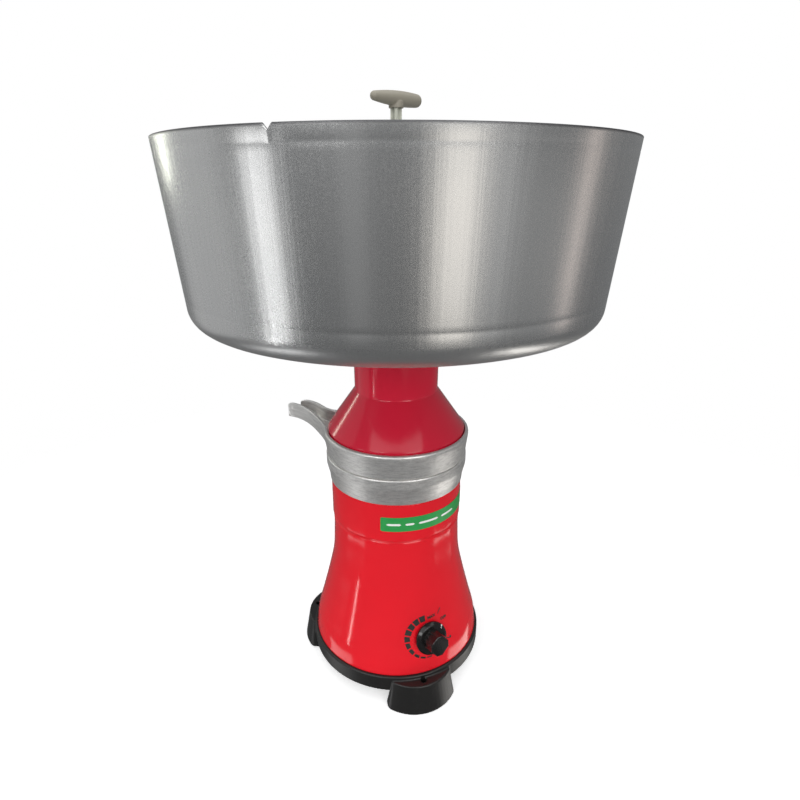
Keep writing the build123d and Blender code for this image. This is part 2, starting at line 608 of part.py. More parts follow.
# ---------------------------------------------------------------- float chamber
def make_float_chamber():
    """Red neck and cone in one piece, with a floor across the neck and a feed tube to the drum."""
    wall = CHAMBER_WALL
    skirt_z = CHAMBER_SEAT_Z
    shell = turned((NECK_TOP_R, NECK_TOP_Z, 0.8), (NECK_BOTTOM_R, NECK_Z, 3.0), (CONE_R, CONE_Z, 1.6),
                   (CONE_R, skirt_z), (CONE_R - wall, skirt_z), (CONE_R - wall, CONE_Z - 1.2),
                   (NECK_BOTTOM_R - wall - 0.6, NECK_Z - 2), (NECK_BOTTOM_R - wall - 0.6, CHAMBER_FLOOR_Z),
                   (FEED_TUBE_R, CHAMBER_FLOOR_Z), (FEED_TUBE_R, FEED_TUBE_END_Z),
                   (FEED_TUBE_R - 1.8, FEED_TUBE_END_Z), (FEED_TUBE_R - 1.8, CHAMBER_FLOOR_Z + 3),
                   (NECK_BOTTOM_R - wall, CHAMBER_FLOOR_Z + 3, 2), (NECK_TOP_R - wall - 0.6, NECK_TOP_Z))
    return shell


def make_float_valve():
    """Hollow float on three small feet."""
    body = turned((0, FLOAT_BOTTOM_Z), (FLOAT_R, FLOAT_BOTTOM_Z, 4), (FLOAT_R, FLOAT_TOP_Z, 6),
                  (9, FLOAT_TOP_Z + 2.5), (9, FLOAT_TOP_Z + 6), (0, FLOAT_TOP_Z + 6))
    body -= turned((0, FLOAT_BOTTOM_Z + 2), (FLOAT_R - 2, FLOAT_BOTTOM_Z + 2, 3),
                   (FLOAT_R - 2, FLOAT_TOP_Z - 2, 4), (0, FLOAT_TOP_Z - 1))
    foot = rod(2.0, CHAMBER_FLOOR_Z + 3, FLOAT_BOTTOM_Z + 0.5, FLOAT_R - 9)
    return body + at_azimuths(foot, spread(3))


def make_float_pad():
    """Rubber pad on the float, which shuts the outlet when the chamber is full."""
    return rod(8.0, FLOAT_TOP_Z + 6, FLOAT_TOP_Z + 9)


# ---------------------------------------------------------------- milk bowl and tap
def make_milk_bowl():
    """Open spun bowl with a flat bottom, a hole for the tap and a small nick in its rim."""
    wall = BOWL_WALL
    bowl = turned((SEAT_R + 0.2, BOWL_BOTTOM_Z), (BOWL_CORNER_R, BOWL_BOTTOM_Z, BOWL_CORNER_FILLET),
                  (BOWL_RIM_R, BOWL_RIM_Z, 0.7), (BOWL_RIM_R - wall, BOWL_RIM_Z, 0.7),
                  (BOWL_CORNER_R - wall - 0.2, BOWL_BOTTOM_Z + wall, BOWL_CORNER_FILLET - wall),
                  (SEAT_R + 0.2, BOWL_BOTTOM_Z + wall))
    x, y = polar(BOWL_RIM_R - wall / 2, BOWL_NICK_AZIMUTH)
    nick = extrude(Plane.YZ * make_face(Polyline((-BOWL_NICK_WIDTH / 2, 1), (BOWL_NICK_WIDTH / 2, 1),
                                                 (0, -BOWL_NICK_DEPTH), close=True)), 6, both=True)
    return bowl - Pos(x, y, BOWL_RIM_Z) * Rot(0, 0, BOWL_NICK_AZIMUTH) * nick


def make_locating_ring():
    """Ring nut under the bowl that centres it in the chamber's neck and holds the tap seat."""
    outer = NECK_TOP_R - CHAMBER_WALL - 0.6 - SLIDING_GAP - 0.3
    return turned((SEAT_R + 0.05, BOWL_BOTTOM_Z), (outer, BOWL_BOTTOM_Z), (outer, BOWL_BOTTOM_Z - 7, 1),
                  (SEAT_R + 0.05, BOWL_BOTTOM_Z - 7))


def make_tap_seat():
    """Outlet nipple through the bowl's bottom, with a side port for the milk."""
    bottom = BOWL_BOTTOM_Z + BOWL_WALL
    seat = turned((SEAT_BORE_R, SEAT_BOTTOM_Z), (SEAT_R, SEAT_BOTTOM_Z), (SEAT_R, bottom + 1),
                  (19, bottom + 1), (19, bottom + 3.2, 0.8), (SEAT_R, bottom + 3.2), (SEAT_R, SEAT_TOP_Z),
                  (SEAT_BORE_R, SEAT_TOP_Z))
    port = Pos(SEAT_R, 0, PORT_Z) * Box(12, PORT_SIZE, PORT_SIZE)
    return seat - Rot(0, 0, TAP_TURN) * port


def make_seat_gasket():
    """Rubber washer between the seat's flange and the bowl."""
    bottom = BOWL_BOTTOM_Z + BOWL_WALL
    return tube(18.6, SEAT_R + 0.1, bottom, bottom + 1)


def make_tap_plug():
    """Turning plug with one side port and a cross-ribbed stem up through the milk."""
    radius = SEAT_BORE_R - PLUG_CLEARANCE
    plug = turned((radius - 2.2, SEAT_BOTTOM_Z + 1), (radius, SEAT_BOTTOM_Z + 1), (radius, SEAT_TOP_Z + 0.3),
                  (13, SEAT_TOP_Z + 0.3), (13, SEAT_TOP_Z + 3.5, 1), (0, SEAT_TOP_Z + 3.5),
                  (0, SEAT_TOP_Z - 3), (radius - 2.2, SEAT_TOP_Z - 3))
    port = Pos(radius, 0, PORT_Z) * Box(10, PORT_SIZE, PORT_SIZE)
    plug -= Rot(0, 0, TAP_TURN - 90) * port
    low, high = SEAT_TOP_Z + 3, HANDLE_Z - STEM_SEAT
    length = high - low
    middle = Pos(0, 0, (low + high) / 2)
    stem = middle * Box(STEM_WIDTH, STEM_RIB, length) + middle * Box(STEM_RIB, STEM_WIDTH, length)
    discs = [rod(STEM_WIDTH / 2, z, z + 1.8) for z in (low + 30, low + 62, low + 94, high - 1.8)]
    return plug + stem + discs


def make_tap_handle():
    """Rounded cross bar, slimmer at its front end, pressed on the stem."""
    half = HANDLE_LENGTH / 2
    shoulder = half - 3.5
    top = Spline((-shoulder, HANDLE_NOSE_R), (0, HANDLE_MIDDLE_R), (shoulder, HANDLE_TAIL_R))
    ends = [ThreePointArc((side * half, 0), (side * (half - 1), 0.7 * radius), (side * shoulder, radius))
            for side, radius in ((-1, HANDLE_NOSE_R), (1, HANDLE_TAIL_R))]
    bar = revolve(make_face([top, *ends, Line((-half, 0), (half, 0))]), Axis.X)
    bore = STEM_WIDTH / 2 + 0.25
    boss_end = -HANDLE_MIDDLE_R - 1.4
    handle = bar + rod(bore + 1.1, boss_end, -2) - rod(bore, boss_end - 1, -STEM_SEAT)
    return Pos(0, 0, HANDLE_Z) * Rot(0, 0, TAP_TURN) * handle


# ---------------------------------------------------------------- all sub-parts
MAKERS = {
    "base_plate": make_base_plate,
    "rubber_feet": make_rubber_feet,
    "base_screws": make_base_screws,
    "motor_housing": make_motor_housing,
    "label_strip": make_label_strip,
    "cable_gland": make_cable_gland,
    "control_nut": make_control_nut,
    "potentiometer": make_potentiometer,
    "speed_board": make_speed_board,
    "upper_bracket": make_upper_bracket,
    "lower_bracket": make_lower_bracket,
    "motor_bolts": make_motor_bolts,
    "stator_core": make_stator_core,
    "field_windings": make_field_windings,
    "brush_holders": make_brush_holders,
    "carbon_brushes": make_carbon_brushes,
    "rubber_mounts": make_rubber_mounts,
    "mount_screws": make_mount_screws,
    "control_knob": make_control_knob,
    "control_shaft": make_control_shaft,
    "motor_shaft": make_motor_shaft,
    "armature_core": make_armature_core,
    "armature_winding": make_armature_winding,
    "commutator": make_commutator,
    "cooling_fan": make_cooling_fan,
    "drum_base": make_drum_base,
    "disc_holder": make_disc_holder,
    "disc_stack": make_disc_stack,
    "separating_disc": make_separating_disc,
    "drum_cover": make_drum_cover,
    "drum_seal": make_drum_seal,
    "drum_nut": make_drum_nut,
    "cream_screws": make_cream_screw,
    "skim_receiver": make_skim_receiver,
    "cream_receiver": make_cream_receiver,
    "float_chamber": make_float_chamber,
    "float_valve": make_float_valve,
    "float_pad": make_float_pad,
    "milk_bowl": make_milk_bowl,
    "locating_ring": make_locating_ring,
    "tap_seat": make_tap_seat,
    "seat_gasket": make_seat_gasket,
    "tap_plug": make_tap_plug,
    "tap_handle": make_tap_handle,
}

os.makedirs("parts", exist_ok=True)
for part_name, make in MAKERS.items():
    save(part_name, make())
save("upper_bearing", make_bearing(UPPER_BEARING_Z))
save("lower_bearing", make_bearing(LOWER_BEARING_Z))
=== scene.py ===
from math import ceil, cos, degrees, pi, radians, sin, tan

import bmesh
import bpy
from mathutils import Matrix, Vector


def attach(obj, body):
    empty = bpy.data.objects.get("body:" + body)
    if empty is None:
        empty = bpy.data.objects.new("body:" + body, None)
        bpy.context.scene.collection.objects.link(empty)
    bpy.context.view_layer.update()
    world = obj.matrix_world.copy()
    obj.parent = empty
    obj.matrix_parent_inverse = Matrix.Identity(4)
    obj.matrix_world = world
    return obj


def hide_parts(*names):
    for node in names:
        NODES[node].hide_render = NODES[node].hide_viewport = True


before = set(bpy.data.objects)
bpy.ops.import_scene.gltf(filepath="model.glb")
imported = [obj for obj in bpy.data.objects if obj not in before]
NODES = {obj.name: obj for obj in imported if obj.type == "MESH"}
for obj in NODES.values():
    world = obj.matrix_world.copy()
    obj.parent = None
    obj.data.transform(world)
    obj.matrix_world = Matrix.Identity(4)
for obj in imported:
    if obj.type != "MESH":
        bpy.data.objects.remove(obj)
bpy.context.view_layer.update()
MM = 0.001

# ---------------------------------------------------------------- sizes in millimetres and degrees
BOWL_RIM_R, BOWL_RIM_Z = 179.98, 495.8
BOWL_CORNER_R, BOWL_BOTTOM_Z = 168.6, 360.6
BOWL_FILLET, BOWL_WALL, BOWL_HOLE_R = 17.7, 2.2, 14.2
MARK_SHARES, MARK_HALF, MARK_DEPTH = (0.183, 0.933), 0.008, 0.12  # the first two are shares of the wall
NICK_AZIMUTH, NICK_WIDTH, NICK_DEPTH, NICK_FADE = -111.6, 6.0, 3.4, 12.0

NECK_TOP_R, NECK_TOP_Z = 38.3, 360.6
NECK_R, NECK_Z = 37.7, 292.8
CONE_R, CONE_Z = 63.2, 256.2
CHAMBER_SEAT_Z, CHAMBER_WALL, CHAMBER_TAPER = 246.0, 2.8, 0.6
CHAMBER_FLOOR_Z, CHAMBER_FLOOR_THICK = 297.0, 3.0
FEED_TUBE_R, FEED_TUBE_Z, FEED_TUBE_WALL = 6.0, 238.0, 1.8

HOUSING_FLARE = ((60.8, 166.0), (61.3, 152.0), (63.0, 124.0), (69.1, 96.0), (76.4, 68.0), (81.4, 50.0),
                 (83.4, 33.5))
FLARE_STEPS, SHOULDER_DROP = 6, 8.0  # points per span of the flare, and where it takes over from the shoulder
COLLAR_R, COLLAR_Z, HOUSING_TOP_Z, GROOVE_DEPTH = 62.0, 168.2, 205.5, 1.4
CUP_R, CUP_FLOOR_Z, WEB_Z, HOUSING_WALL = 58.0, 156.0, 152.0, 3.0
BEARING_BORE_R, BEARING_BOSS_R, BEARING_BOSS_HEIGHT = 8.0, 14.0, 6.0

LABEL_AZIMUTHS, LABEL_Z = (-103.0, 12.0), (178.6, 192.8)
LABEL_MARGIN, DASH_GAP = 5.0, 3.4  # degrees
LABEL_THICK, DASH_THICK, DASH_HALF_HEIGHT, DASH_LENGTHS = 0.22, 0.08, 1.0, (13.0, 8.5, 20.0, 17.0)

KNOB_AZIMUTH, KNOB_Z, KNOB_SURFACE_R, KNOB_TILT = -65.3, 67.2, 76.6, 16.7
KNOB_SKIRT_R, KNOB_LIFT = 15.7, 1.9
POINTER_ANGLE, POINTER_HALF_WIDTH, POINTER_PROUD = 42.0, 0.65, 0.14
DIAL_CENTRE = Vector((-3.0, 0.8))  # centre of the printed scale, from the knob's
DIAL_BLOCKS, DIAL_START, DIAL_SWEEP = 10, 99.0, 172.0
DIAL_R, BLOCK_WIDTH, BLOCK_DEPTH = 22.4, 6.4, 6.0  # the first block's; the others shrink
DIAL_WORD_SIZE = 3.9
PRINT_ROOT, PRINT_PROUD = -0.3, 0.12  # how deep printed patches start and how far they stand out

ARC_STEP, PATCH_STEP = 9.0, 1.5  # degrees of a facet on fillets and on the label
LATHE_SEGMENTS = 240
WELD_DISTANCE, CAD_WELD_DISTANCE = 1e-7, 1e-6  # metres


# ---------------------------------------------------------------- material helpers
def new_material(name):
    """An empty node material with a Principled shader wired to its output."""
    material = bpy.data.materials.new(name)
    material.use_nodes = True
    tree = material.node_tree
    tree.nodes.clear()
    shader = tree.nodes.new("ShaderNodeBsdfPrincipled")
    output = tree.nodes.new("ShaderNodeOutputMaterial")
    tree.links.new(shader.outputs["BSDF"], output.inputs["Surface"])
    return material, tree, shader


def add_node(tree, kind, inputs=(), **settings):
    """A node with its settings and its inputs, each a value or a socket to link."""
    node = tree.nodes.new(kind)
    for key, value in settings.items():
        setattr(node, key, value)
    for key, value in dict(inputs).items():
        if isinstance(value, bpy.types.NodeSocket):
            tree.links.new(value, node.inputs[key])
        else:
            node.inputs[key].default_value = value
    return node


def maths(tree, operation, a, b=0.0, clamp=False):
    """Result of one Math node."""
    return add_node(tree, "ShaderNodeMath", {0: a, 1: b}, operation=operation, use_clamp=clamp).outputs[0]


def position(tree):
    """Coordinates fixed to the piece, in metres."""
    return add_node(tree, "ShaderNodeTexCoord").outputs["Object"]


def round_position(tree, across, along):
    """Coordinates unrolled round the Z axis, scaled across (round) and along (up)."""
    split = add_node(tree, "ShaderNodeSeparateXYZ", {0: position(tree)})
    angle = maths(tree, "ARCTAN2", split.outputs["Y"], split.outputs["X"])
    turn_x = maths(tree, "MULTIPLY", maths(tree, "COSINE", angle), across)
    turn_y = maths(tree, "MULTIPLY", maths(tree, "SINE", angle), across)
    height = maths(tree, "MULTIPLY", split.outputs["Z"], along)
    return add_node(tree, "ShaderNodeCombineXYZ", {0: turn_x, 1: turn_y, 2: height}).outputs[0]


def axis_distance(tree, split):
    """Distance from the Z axis, from coordinates that are already split."""
    squares = [maths(tree, "MULTIPLY", split.outputs[axis], split.outputs[axis]) for axis in "XY"]
    return maths(tree, "SQRT", maths(tree, "ADD", *squares))


def noise(tree, vector, scale, detail=3.0, rough=0.55):
    """Value of a noise texture, about 0 to 1."""
    inputs = {"Vector": vector, "Scale": scale, "Detail": detail, "Roughness": rough}
    return add_node(tree, "ShaderNodeTexNoise", inputs).outputs["Fac"]


def spread_value(tree, value, low, high, centre=0.5, width=0.25):
    """Map values from centre - width to centre + width on to low to high, and hold them beyond."""
    inputs = {"Value": value, "From Min": centre - width, "From Max": centre + width,
              "To Min": low, "To Max": high}
    return add_node(tree, "ShaderNodeMapRange", inputs).outputs["Result"]


def mix_colour(tree, factor, first, second):
    """Mix of two colours, each a tuple or a socket."""
    node = tree.nodes.new("ShaderNodeMix")
    node.data_type = "RGBA"
    for index, value in ((0, factor), (6, first), (7, second)):
        if isinstance(value, bpy.types.NodeSocket):
            tree.links.new(value, node.inputs[index])
        elif index == 0:
            node.inputs[index].default_value = value
        else:
            node.inputs[index].default_value = (*value, 1.0)
    return node.outputs[2]


def bump(tree, height, distance, strength, normal=None):
    """Bump normal from a height value; distance is the depth in metres."""
    inputs = {"Height": height, "Distance": distance, "Strength": strength}
    if normal is not None:
        inputs["Normal"] = normal
    return add_node(tree, "ShaderNodeBump", inputs).outputs["Normal"]


def edge_mask(tree, start, end):
    """1 on raised edges and 0 elsewhere, for wear."""
    pointed = add_node(tree, "ShaderNodeNewGeometry").outputs["Pointiness"]
    inputs = {"Value": pointed, "From Min": start, "From Max": end, "To Min": 0.0, "To Max": 1.0}
    return add_node(tree, "ShaderNodeMapRange", inputs).outputs["Result"]


def finish_shader(shader, tree, colour, roughness, metallic=0.0, normal=None):
    """Connect colour, roughness and normal, and set what is uniform on the shader itself."""
    for key, value in (("Base Color", colour), ("Roughness", roughness), ("Normal", normal)):
        if value is None:
            continue
        if isinstance(value, bpy.types.NodeSocket):
            tree.links.new(value, shader.inputs[key])
        elif key == "Base Color":
            shader.inputs[key].default_value = (*value, 1.0)
        else:
            shader.inputs[key].default_value = value
    shader.inputs["Metallic"].default_value = metallic


# ---------------------------------------------------------------- materials of the outside
def spun_aluminium():
    """Satin bowl metal: fine grain, draw marks up the wall, rings on the floor, dull corner, and painted
    shade that darkens the rim's top edge.
    """
    material, tree, shader = new_material("spun_aluminium")
    split = add_node(tree, "ShaderNodeSeparateXYZ", {0: position(tree)})
    height = split.outputs["Z"]
    # band at the rim's top edge: shade is painted into its colour below, and its roughness is raised
    rim = spread_value(tree, height, 0.0, 1.0, (BOWL_RIM_Z - 1.3) * MM, 0.7 * MM)
    wall = spread_value(tree, height, 0.0, 1.0, (BOWL_BOTTOM_Z + 6) * MM, 4 * MM)
    streaks = noise(tree, round_position(tree, 38.0, 0.9), 1.0, 3.0, 0.5)
    fine_streaks = noise(tree, round_position(tree, 210.0, 4.0), 1.0, 2.0)
    reach = add_node(tree, "ShaderNodeCombineXYZ", {0: axis_distance(tree, split)}).outputs[0]
    rings = noise(tree, reach, 700.0, 2.0)
    grain = noise(tree, position(tree), 1300.0, 2.0, 0.6)
    clouds = noise(tree, round_position(tree, 1.1, 7.0), 1.6, 3.0)
    tone = mix_colour(tree, spread_value(tree, clouds, 0.0, 1.0), (0.60, 0.605, 0.61), (0.68, 0.675, 0.665))
    tone = mix_colour(tree, spread_value(tree, grain, 0.0, 0.4), tone, (0.82, 0.82, 0.81))
    # painted shade: the rim's top edge is coloured near black, standing in for shade on it
    tone = mix_colour(tree, rim, tone, (0.13, 0.13, 0.135))
    rough = spread_value(tree, streaks, 0.235, 0.275)
    rough = maths(tree, "ADD", rough, spread_value(tree, grain, -0.03, 0.05))
    rough = maths(tree, "ADD", rough, maths(tree, "MULTIPLY", rim, 0.2))
    rough = maths(tree, "ADD", rough, spread_value(tree, height, 0.2, 0.0, (BOWL_BOTTOM_Z + 9) * MM, 8 * MM))
    below_rim, floor = maths(tree, "SUBTRACT", 1.0, rim), maths(tree, "SUBTRACT", 1.0, wall)
    normal = bump(tree, maths(tree, "MULTIPLY", grain, below_rim), 0.00004, 0.5)
    normal = bump(tree, maths(tree, "MULTIPLY", fine_streaks, wall), 0.00004, 0.3, normal)
    normal = bump(tree, maths(tree, "MULTIPLY", streaks, wall), 0.0004, 0.2, normal)
    normal = bump(tree, maths(tree, "MULTIPLY", rings, floor), 0.00008, 0.3, normal)
    finish_shader(shader, tree, tone, rough, 1.0, normal)
    return material


def cast_aluminium():
    """Cast ring metal, skimmed on a lathe: fine turned lines, pitted grain and edges rubbed bright."""
    material, tree, shader = new_material("cast_aluminium")
    place = position(tree)
    grain = noise(tree, place, 900.0, 3.0, 0.6)
    patches = noise(tree, place, 55.0, 4.0, 0.6)
    lines = noise(tree, round_position(tree, 9.0, 620.0), 1.0, 3.0, 0.6)
    tone = mix_colour(tree, spread_value(tree, patches, 0.0, 1.0), (0.74, 0.73, 0.71), (0.84, 0.83, 0.81))
    tone = mix_colour(tree, spread_value(tree, grain, 0.0, 0.5, 0.5, 0.14), tone, (0.97, 0.96, 0.94))
    tone = mix_colour(tree, spread_value(tree, lines, 0.6, 0.0, 0.44, 0.14), tone, (0.50, 0.49, 0.48))
    wear = edge_mask(tree, 0.51, 0.56)
    tone = mix_colour(tree, wear, tone, (0.98, 0.97, 0.95))
    rough = spread_value(tree, grain, 0.36, 0.46)
    rough = maths(tree, "SUBTRACT", rough, maths(tree, "MULTIPLY", wear, 0.18))
    normal = bump(tree, grain, 0.0003, 0.5)
    normal = bump(tree, lines, 0.0002, 0.6, normal)
    normal = bump(tree, patches, 0.0006, 0.25, normal)
    finish_shader(shader, tree, tone, rough, 0.88, normal)
    return material


def enamel(name, colour, deep):
    """Glossy sprayed enamel with slight orange peel and faint dust."""
    material, tree, shader = new_material(name)
    place = position(tree)
    peel = noise(tree, place, 190.0, 2.0, 0.4)
    waves = noise(tree, place, 26.0, 2.0, 0.4)
    dust = spread_value(tree, noise(tree, place, 420.0, 5.0, 0.7), 0.0, 1.0, 0.72, 0.06)
    tone = mix_colour(tree, spread_value(tree, waves, 0.0, 0.5), colour, deep)
    rough = maths(tree, "ADD", spread_value(tree, peel, 0.11, 0.15), maths(tree, "MULTIPLY", dust, 0.12))
    normal = bump(tree, peel, 0.00018, 0.07)
    normal = bump(tree, waves, 0.0012, 0.07, normal)
    finish_shader(shader, tree, tone, rough, 0.0, normal)
    return material


def moulded_plastic(name, colour, light, roughness=0.38, grain_scale=900.0, grain_depth=0.00012):
    """Moulded plastic with fine texture, cloudy tone and paler rubbed edges."""
    material, tree, shader = new_material(name)
    place = position(tree)
    grain = noise(tree, place, grain_scale, 3.0, 0.6)
    scuffs = spread_value(tree, noise(tree, place, 85.0, 5.0, 0.7), 0.0, 0.6, 0.66, 0.1)
    wear = maths(tree, "MULTIPLY", edge_mask(tree, 0.53, 0.62), 0.35)
    rubbed = maths(tree, "ADD", maths(tree, "MULTIPLY", scuffs, 0.35), wear, clamp=True)
    tone = mix_colour(tree, rubbed, colour, light)
    rough = spread_value(tree, grain, roughness - 0.05, roughness + 0.07)
    rough = maths(tree, "ADD", rough, maths(tree, "MULTIPLY", scuffs, 0.08))
    normal = bump(tree, grain, grain_depth, 0.45)
    finish_shader(shader, tree, tone, rough, 0.0, normal)
    return material


def printed_film(name, colour, light, roughness=0.34):
    """Printed label film or ink, with slight unevenness."""
    material, tree, shader = new_material(name)
    place = position(tree)
    mottle = noise(tree, place, 240.0, 3.0)
    waves = noise(tree, place, 60.0, 2.0)
    tone = mix_colour(tree, spread_value(tree, mottle, 0.0, 0.35), colour, light)
    rough = spread_value(tree, mottle, roughness - 0.04, roughness + 0.06)
    finish_shader(shader, tree, tone, rough, 0.0, bump(tree, waves, 0.0002, 0.12))
    return material


# ---------------------------------------------------------------- materials of the inside
def turned_metal(name, colour, roughness, ring_scale=2200.0):
    """Lathe-turned metal with fine rings round the axis."""
    material, tree, shader = new_material(name)
    place = position(tree)
    split = add_node(tree, "ShaderNodeSeparateXYZ", {0: place})
    reach = maths(tree, "ADD", axis_distance(tree, split), split.outputs["Z"])
    rings = maths(tree, "SINE", maths(tree, "MULTIPLY", reach, ring_scale))
    mottle = noise(tree, place, 160.0, 3.0)
    pale = tuple(min(1.0, channel * 1.25) for channel in colour)
    tone = mix_colour(tree, spread_value(tree, mottle, 0.0, 0.6), colour, pale)
    rough = spread_value(tree, mottle, roughness - 0.05, roughness + 0.08)
    finish_shader(shader, tree, tone, rough, 1.0, bump(tree, rings, 0.00003, 0.5))
    return material


def grainy(name, colour, pale, roughness, metallic=0.0, scale=500.0, depth=0.0002):
    """Plain grainy material for rubber, carbon, cast brackets and bearing steel."""
    material, tree, shader = new_material(name)
    place = position(tree)
    grain = noise(tree, place, scale, 4.0, 0.6)
    clouds = noise(tree, place, scale / 9.0, 3.0)
    tone = mix_colour(tree, spread_value(tree, clouds, 0.0, 0.8), colour, pale)
    rough = spread_value(tree, grain, roughness - 0.07, roughness + 0.09)
    finish_shader(shader, tree, tone, rough, metallic, bump(tree, grain, depth, 0.4))
    return material


def laminated_steel():
    """Stacked varnished sheets of one millimetre, seen as fine level lines."""
    material, tree, shader = new_material("laminated_steel")
    place = position(tree)
    height = add_node(tree, "ShaderNodeSeparateXYZ", {0: place}).outputs["Z"]
    sheets = maths(tree, "SINE", maths(tree, "MULTIPLY", height, 2 * pi / MM))
    mottle = noise(tree, place, 120.0, 3.0)
    tone = mix_colour(tree, spread_value(tree, mottle, 0.0, 1.0), (0.10, 0.105, 0.12), (0.19, 0.18, 0.17))
    tone = mix_colour(tree, spread_value(tree, sheets, 0.0, 0.35, 0.0, 1.0), tone, (0.03, 0.03, 0.03))
    rough = spread_value(tree, mottle, 0.4, 0.55)
    finish_shader(shader, tree, tone, rough, 0.8, bump(tree, sheets, 0.00012, 0.7))
    return material


def copper_winding():
    """Varnished copper wire, seen as close-laid strands."""
    material, tree, shader = new_material("copper_winding")
    place = round_position(tree, 0.02, 1.0)
    inputs = {"Vector": place, "Scale": 260.0, "Distortion": 2.0, "Detail": 2.0}
    wire = add_node(tree, "ShaderNodeTexWave", inputs, bands_direction="Z").outputs["Fac"]
    mottle = noise(tree, position(tree), 200.0, 3.0)
    tone = mix_colour(tree, wire, (0.13, 0.035, 0.012), (0.55, 0.22, 0.08))
    tone = mix_colour(tree, spread_value(tree, mottle, 0.0, 0.4), tone, (0.30, 0.12, 0.04))
    rough = spread_value(tree, mottle, 0.25, 0.4)
    finish_shader(shader, tree, tone, rough, 0.75, bump(tree, wire, 0.0004, 0.8))
    return material


def circuit_board():
    """Green board with tracks and dark components."""
    material, tree, shader = new_material("circuit_board")
    place = position(tree)
    cells = add_node(tree, "ShaderNodeTexVoronoi", {"Vector": place, "Scale": 320.0}, distance="MANHATTAN")
    tracks = spread_value(tree, cells.outputs["Distance"], 0.0, 1.0, 0.45, 0.05)
    tone = mix_colour(tree, tracks, (0.012, 0.10, 0.04), (0.03, 0.22, 0.08))
    rough = spread_value(tree, noise(tree, place, 300.0), 0.3, 0.45)
    finish_shader(shader, tree, tone, rough, 0.0, bump(tree, tracks, 0.0001, 0.6))
    return material


M = {
    "bowl": spun_aluminium(),
    "cast": cast_aluminium(),
    "red": enamel("red_enamel", (0.74, 0.008, 0.018), (0.67, 0.007, 0.016)),
    "crimson": enamel("crimson_enamel", (0.70, 0.012, 0.042), (0.63, 0.010, 0.037)),
    "black": moulded_plastic("black_plastic", (0.010, 0.0095, 0.009), (0.06, 0.056, 0.052), 0.36),
    "knob": moulded_plastic("knob_bakelite", (0.006, 0.0055, 0.0055), (0.05, 0.046, 0.043),
                            0.17, 700.0, 0.00003),
    "handle": moulded_plastic("handle_plastic", (0.34, 0.315, 0.255), (0.47, 0.45, 0.38),
                              0.42, 700.0, 0.0001),
    "stem": moulded_plastic("stem_plastic", (0.60, 0.61, 0.52), (0.74, 0.74, 0.66), 0.36, 500.0, 0.0001),
    "green": printed_film("label_green", (0.012, 0.30, 0.055), (0.03, 0.40, 0.10)),
    "white_ink": printed_film("white_ink", (0.80, 0.82, 0.80), (0.90, 0.90, 0.88)),
    "black_ink": printed_film("black_ink", (0.018, 0.018, 0.016), (0.05, 0.05, 0.045), 0.4),
    "drum": turned_metal("drum_metal", (0.52, 0.52, 0.54), 0.28),
    "disc": turned_metal("disc_metal", (0.62, 0.62, 0.64), 0.2, 3000.0),
    "brass": turned_metal("turned_brass", (0.62, 0.42, 0.16), 0.28),
    "steel": turned_metal("ground_steel", (0.46, 0.46, 0.47), 0.22, 4000.0),
    "zinc": grainy("zinc_plate", (0.50, 0.50, 0.47), (0.62, 0.61, 0.56), 0.34, 1.0, 400.0, 0.00008),
    "bracket": grainy("cast_bracket", (0.36, 0.36, 0.37), (0.48, 0.48, 0.48), 0.46, 1.0, 420.0, 0.0003),
    "rubber": grainy("black_rubber", (0.016, 0.016, 0.016), (0.035, 0.034, 0.032), 0.72, 0.0, 600.0, 0.0002),
    "carbon": grainy("pressed_carbon", (0.02, 0.02, 0.022), (0.045, 0.045, 0.045), 0.6, 0.2, 900.0, 0.0002),
    "fan": grainy("fan_plastic", (0.05, 0.05, 0.055), (0.08, 0.08, 0.085), 0.5, 0.0, 700.0, 0.0001),
    "white_plastic": grainy("food_plastic", (0.70, 0.70, 0.66), (0.80, 0.80, 0.77), 0.36, 0.0, 500.0, 0.0001),
    "laminations": laminated_steel(),
    "copper": copper_winding(),
    "board": circuit_board(),
}


# ---------------------------------------------------------------- mesh helpers
def polar(radius, azimuth, z=0.0):
    """Point from radius, azimuth in degrees and height."""
    return Vector((radius * cos(radians(azimuth)), radius * sin(radians(azimuth)), z))


def place_piece(obj, body, material, slot, *nodes):
    """Give a piece its material and body, and hide the CAD nodes it stands for."""
    obj.data.materials.clear()
    obj.data.materials.append(material)
    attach(obj, body)
    if nodes:
        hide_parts(*nodes)
    return obj


def mesh_object(name, points, faces, sharp_angle=35.0):
    """Smooth-shaded mesh object from points in millimetres, sharp at steep edges."""
    mesh = bpy.data.meshes.new(name)
    mesh.from_pydata([Vector(point) * MM for point in points], [], faces)
    work = bmesh.new()
    work.from_mesh(mesh)
    bmesh.ops.remove_doubles(work, verts=work.verts, dist=WELD_DISTANCE)
    bmesh.ops.recalc_face_normals(work, faces=work.faces)
    work.to_mesh(mesh)
    work.free()
    mesh.polygons.foreach_set("use_smooth", [True] * len(mesh.polygons))
    mesh.set_sharp_from_angle(angle=radians(sharp_angle))
    obj = bpy.data.objects.new(name, mesh)
    bpy.context.scene.collection.objects.link(obj)
    return obj


